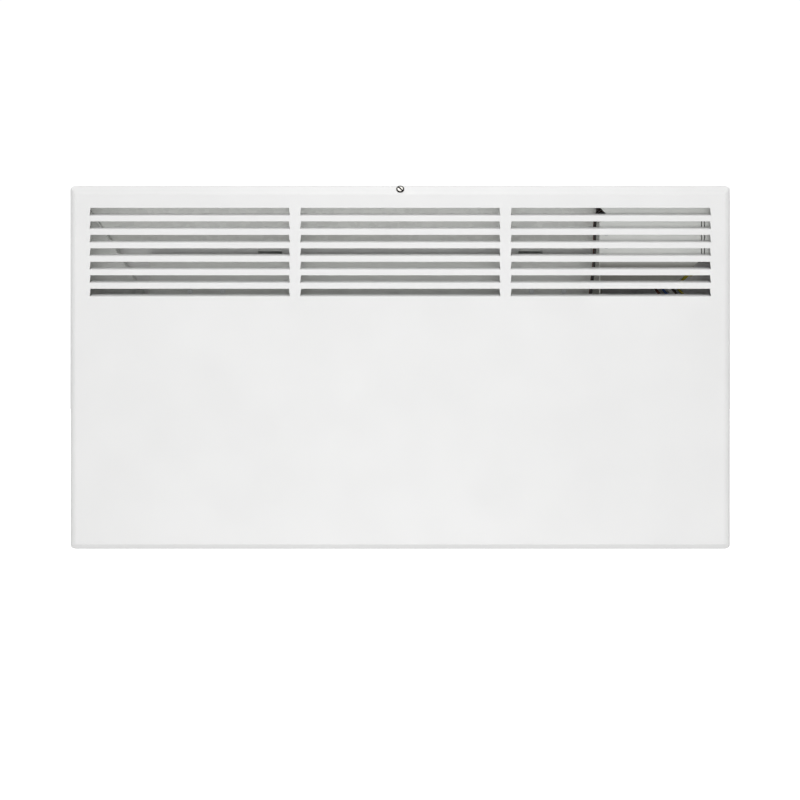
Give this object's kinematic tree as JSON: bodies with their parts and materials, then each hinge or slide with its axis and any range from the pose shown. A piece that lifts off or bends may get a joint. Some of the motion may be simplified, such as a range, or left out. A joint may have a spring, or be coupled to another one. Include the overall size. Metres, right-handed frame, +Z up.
{
  "type": "wall panel convector heater",
  "caption": "Flat wall-hung electric convector: white folded cover with louvre rows, finned element, thermostat and two switches in a side pocket, on a hooked bracket.",
  "frame": {"origin": "on the wall, at the centre of the wall bracket's four screw slots", "axes": "+X to the right as seen from the room, +Y into the wall, +Z up"},
  "size_m": [0.728, 0.0806, 0.4013],
  "materials": {
    "cover_paint": "fine-grained white powder coat",
    "grey_paint": "satin light grey",
    "nickel": "nickel plated",
    "zinc": "zinc plated",
    "galvanised": "galvanised sheet",
    "bright_sheet": "bright aluminised sheet",
    "rivet": "plain",
    "fins": "plain",
    "sheath": "heat-darkened steel",
    "ceramic": "glazed ceramic",
    "phenolic": "moulded, dark",
    "white_plastic": "satin",
    "black_plastic": "satin",
    "rubber": "matte",
    "copper": "bare copper",
    "brown_wire": "insulation",
    "dark_brown_wire": "insulation",
    "blue_wire": "insulation",
    "black_wire": "insulation",
    "white_sleeve": "woven glass sleeve",
    "earth_wire": "yellow and green insulation"
  },
  "bodies": {
    "bracket": {"wall_bracket": "galvanised"},
    "heater": {"front_cover": "cover_paint", "cover_screw": "nickel", "cover_nut": "zinc", "cover_tab": "galvanised", "rear_case": "cover_paint", "roof_rivets": "rivet", "rear_rivets": "rivet", "wall_spacer_left": "rubber", "wall_spacer_right": "rubber", "foot_plate_left": "zinc", "foot_plate_right": "zinc", "left_air_guide": "galvanised", "partition": "galvanised", "air_deflector": "galvanised", "rear_heat_shield": "bright_sheet", "shield_standoff_left": "galvanised", "shield_standoff_right": "galvanised", "shield_rivets": "rivet", "front_heat_shield": "bright_sheet", "element_fins": "fins", "element_rods": "sheath", "element_bushes": "ceramic", "element_pins": "zinc", "element_link": "zinc", "element_holder_left": "galvanised", "element_holder_right": "galvanised", "limiter": "phenolic", "inner_rivets": "rivet", "control_shield": "grey_paint", "shield_screws": "zinc", "control_panel": "white_plastic", "panel_screws": "zinc", "thermostat_body": "phenolic", "thermostat_nut": "nickel", "switch_body_front": "black_plastic", "switch_body_rear": "black_plastic", "terminal_block": "white_plastic", "terminal_screws": "zinc", "earth_stud": "zinc", "earth_nut": "zinc", "cord_gland": "black_plastic", "cable_clip": "black_plastic", "clip_screw": "zinc", "partition_grommet": "rubber", "sensor_bulb": "copper", "bulb_clips": "galvanised", "wire_live": "brown_wire", "wire_lamp": "blue_wire", "wire_stage_one": "white_sleeve", "wire_stage_two": "dark_brown_wire", "wire_earth": "earth_wire", "wire_limiter_out": "brown_wire", "wire_limiter_back": "black_wire", "wire_neutral": "blue_wire", "capillary": "copper"},
    "thermostat_dial": {"thermostat_knob": "white_plastic", "thermostat_spindle": "zinc"},
    "front_rocker": {"rocker_front": "white_plastic"},
    "rear_rocker": {"rocker_rear": "white_plastic"}
  },
  "joints": [
    {"name": "heater_lift", "type": "slide", "parent": "bracket", "child": "heater", "axis": [0, 0, 1], "range_m": [0, 0.01]},
    {"name": "thermostat_turn", "type": "hinge", "parent": "heater", "child": "thermostat_dial", "pos_m": [0.34, -0.044, 0.0615], "axis": [1, 0, 0], "range_deg": [0, 270]},
    {"name": "front_rocker_tip", "type": "hinge", "parent": "heater", "child": "front_rocker", "pos_m": [0.339, -0.053, 0.0305], "axis": [0, -1, 0], "range_deg": [0, 18]},
    {"name": "rear_rocker_tip", "type": "hinge", "parent": "heater", "child": "rear_rocker", "pos_m": [0.339, -0.035, 0.0305], "axis": [0, -1, 0], "range_deg": [0, 18]}
  ]
}
